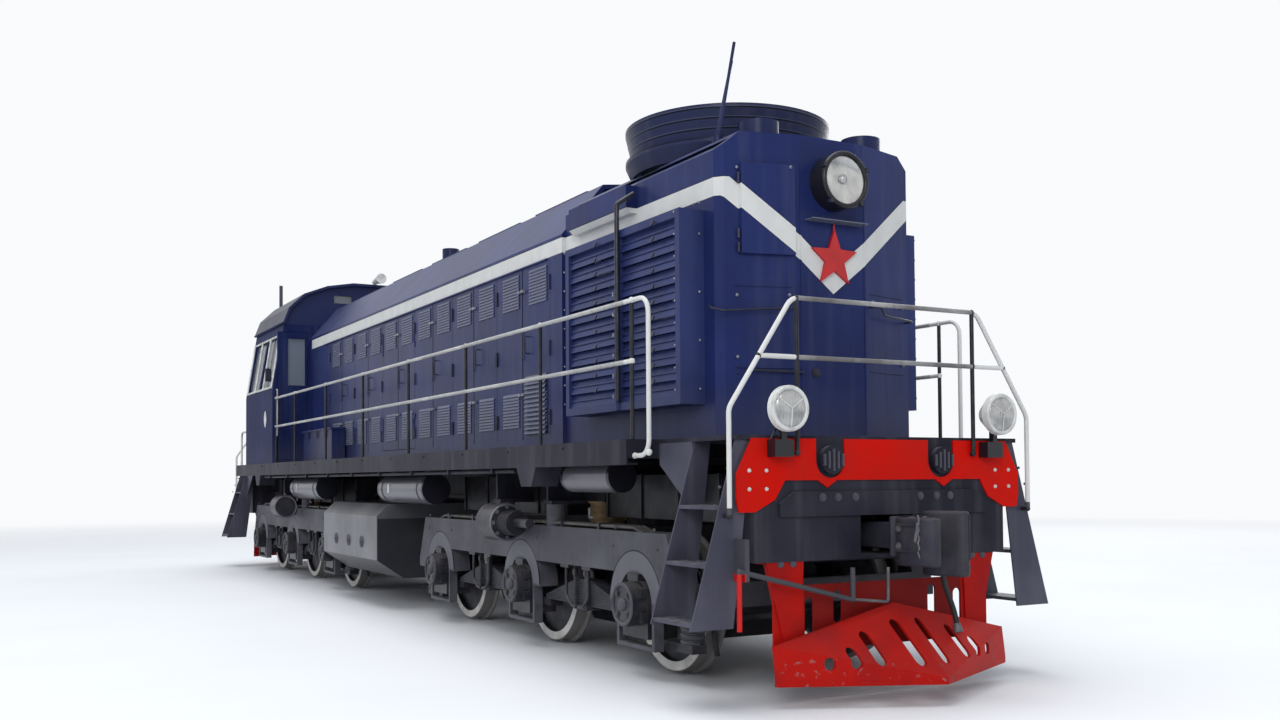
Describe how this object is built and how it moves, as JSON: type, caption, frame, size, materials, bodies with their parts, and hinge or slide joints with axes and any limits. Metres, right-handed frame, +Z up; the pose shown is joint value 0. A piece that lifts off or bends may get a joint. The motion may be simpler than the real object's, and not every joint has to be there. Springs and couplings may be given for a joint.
{
  "type": "six-axle hood-type diesel shunting locomotive",
  "caption": "Hood-type diesel shunting locomotive on two three-axle bogies, with side walkways, louvred engine doors, a roof fan and a full-width cab near the rear.",
  "frame": {"origin": "midway between the bogies on the centreline, at the level of the wheel flanges' lowest point, which is 28 mm under the top of the rail", "axes": "+X forward, towards the radiator end; +Y to the locomotive's left; +Z up"},
  "size_m": [16.97, 3.18, 4.7552],
  "materials": {
    "navy_paint": "satin dark navy paint, dusty",
    "blue_grey_paint": "worn blue-grey paint",
    "dark_steel": "dusty dark grey paint",
    "wheel_steel": "worn steel with a white-painted tyre face",
    "coupler_iron": "dark cast steel",
    "red_paint": "bright red paint",
    "plough_red": "red paint, worn",
    "rail_paint": "dark paint with white-painted ends",
    "window_glass": "clear glass",
    "star_red": "gloss red",
    "lamp_paint": "white-painted lamp rims and black housings",
    "tank_paint": "glossy grey-black paint",
    "hose_rubber": "black rubber",
    "fitting_steel": "worn grey paint, red and white grips",
    "interior_grey": "matt grey",
    "fan_metal": "dull aluminium"
  },
  "bodies": {
    "locomotive": {"air_reservoirs": "dark_steel", "brake_cocks": "dark_steel", "brake_hose_front": "hose_rubber", "brake_hose_rear": "hose_rubber", "cab_body": "navy_paint", "cab_glass": "window_glass", "cab_interior": "interior_grey", "cab_roof": "navy_paint", "cabinet_hood": "navy_paint", "corner_steps": "blue_grey_paint", "end_handrails": "rail_paint", "end_plates": "red_paint", "engine_and_generator": "dark_steel", "engine_hood": "navy_paint", "fan_gearbox": "dark_steel", "fan_ring": "navy_paint", "front_star": "star_red", "fuel_tank": "tank_paint", "hood_doors_latched": "navy_paint", "horn": "navy_paint", "hose_head_front": "fitting_steel", "hose_head_rear": "fitting_steel", "lamps": "lamp_paint", "ploughs": "plough_red", "radiator_hood": "navy_paint", "radiator_shutters": "navy_paint", "rear_hood": "navy_paint", "roof_fittings": "navy_paint", "side_handrails": "rail_paint", "tool_box": "navy_paint", "uncoupling_levers": "fitting_steel", "underframe": "dark_steel"},
    "bogie_front": {"bogie_frame_front": "dark_steel", "axle_boxes_front": "dark_steel", "springs_front": "dark_steel", "traction_motors_front": "dark_steel", "brake_gear_front": "dark_steel"},
    "bogie_rear": {"bogie_frame_rear": "dark_steel", "axle_boxes_rear": "dark_steel", "springs_rear": "dark_steel", "traction_motors_rear": "dark_steel", "brake_gear_rear": "dark_steel"},
    "wheelset_body_front_1": {"wheelset_front_1": "wheel_steel"},
    "wheelset_body_front_2": {"wheelset_front_2": "wheel_steel"},
    "wheelset_body_front_3": {"wheelset_front_3": "wheel_steel"},
    "wheelset_body_rear_1": {"wheelset_rear_1": "wheel_steel"},
    "wheelset_body_rear_2": {"wheelset_rear_2": "wheel_steel"},
    "wheelset_body_rear_3": {"wheelset_rear_3": "wheel_steel"},
    "fan": {"fan_rotor": "fan_metal"},
    "coupler_body_front": {"coupler_front": "coupler_iron"},
    "coupler_body_rear": {"coupler_rear": "coupler_iron"},
    "cab_door_body_front": {"cab_door_front": "navy_paint"},
    "cab_door_body_rear": {"cab_door_rear": "navy_paint"},
    "hood_door_body_left_1": {"hood_door_left_1": "navy_paint"},
    "hood_door_body_left_2": {"hood_door_left_2": "navy_paint"},
    "hood_door_body_right_1": {"hood_door_right_1": "navy_paint"},
    "hood_door_body_right_2": {"hood_door_right_2": "navy_paint"}
  },
  "joints": [
    {"name": "bogie_front_swing", "type": "hinge", "parent": "locomotive", "child": "bogie_front", "pos_m": [4.3, 0, 1.1], "axis": [0, 0, 1], "range_deg": [-2.5, 2.5]},
    {"name": "wheelset_front_1_turn", "type": "hinge", "parent": "bogie_front", "child": "wheelset_body_front_1", "pos_m": [2.2, 0, 0.553], "axis": [0, 1, 0], "continuous": true},
    {"name": "wheelset_front_2_turn", "type": "hinge", "parent": "bogie_front", "child": "wheelset_body_front_2", "pos_m": [4.3, 0, 0.553], "axis": [0, 1, 0], "continuous": true},
    {"name": "wheelset_front_3_turn", "type": "hinge", "parent": "bogie_front", "child": "wheelset_body_front_3", "pos_m": [6.4, 0, 0.553], "axis": [0, 1, 0], "continuous": true},
    {"name": "bogie_rear_swing", "type": "hinge", "parent": "locomotive", "child": "bogie_rear", "pos_m": [-4.3, 0, 1.1], "axis": [0, 0, 1], "range_deg": [-2.5, 2.5]},
    {"name": "wheelset_rear_1_turn", "type": "hinge", "parent": "bogie_rear", "child": "wheelset_body_rear_1", "pos_m": [-2.2, 0, 0.553], "axis": [0, 1, 0], "continuous": true},
    {"name": "wheelset_rear_2_turn", "type": "hinge", "parent": "bogie_rear", "child": "wheelset_body_rear_2", "pos_m": [-4.3, 0, 0.553], "axis": [0, 1, 0], "continuous": true},
    {"name": "wheelset_rear_3_turn", "type": "hinge", "parent": "bogie_rear", "child": "wheelset_body_rear_3", "pos_m": [-6.4, 0, 0.553], "axis": [0, 1, 0], "continuous": true},
    {"name": "fan_turn", "type": "hinge", "parent": "locomotive", "child": "fan", "pos_m": [5.923, 0, 4.088], "axis": [0, 0, 1], "continuous": true},
    {"name": "coupler_front_swing", "type": "hinge", "parent": "locomotive", "child": "coupler_body_front", "pos_m": [7.34, 0, 1.088], "axis": [0, 0, 1], "range_deg": [-7, 7]},
    {"name": "coupler_rear_swing", "type": "hinge", "parent": "locomotive", "child": "coupler_body_rear", "pos_m": [-7.34, 0, 1.088], "axis": [0, 0, 1], "range_deg": [-7, 7]},
    {"name": "cab_door_front_open", "type": "hinge", "parent": "locomotive", "child": "cab_door_body_front", "pos_m": [-4.25, -0.984, 2.8], "axis": [0, 0, 1], "range_deg": [0, 88]},
    {"name": "cab_door_rear_open", "type": "hinge", "parent": "locomotive", "child": "cab_door_body_rear", "pos_m": [-6.19, 0.984, 2.8], "axis": [0, 0, 1], "range_deg": [0, 88]},
    {"name": "hood_door_left_1_open", "type": "hinge", "parent": "locomotive", "child": "hood_door_body_left_1", "pos_m": [0.669, 0.94, 2.6], "axis": [0, 0, -1], "range_deg": [0, 54]},
    {"name": "hood_door_left_2_open", "type": "hinge", "parent": "locomotive", "child": "hood_door_body_left_2", "pos_m": [-0.539, 0.94, 2.6], "axis": [0, 0, 1], "range_deg": [0, 54]},
    {"name": "hood_door_right_1_open", "type": "hinge", "parent": "locomotive", "child": "hood_door_body_right_1", "pos_m": [0.669, -0.94, 2.6], "axis": [0, 0, 1], "range_deg": [0, 54]},
    {"name": "hood_door_right_2_open", "type": "hinge", "parent": "locomotive", "child": "hood_door_body_right_2", "pos_m": [-0.539, -0.94, 2.6], "axis": [0, 0, -1], "range_deg": [0, 54]}
  ]
}
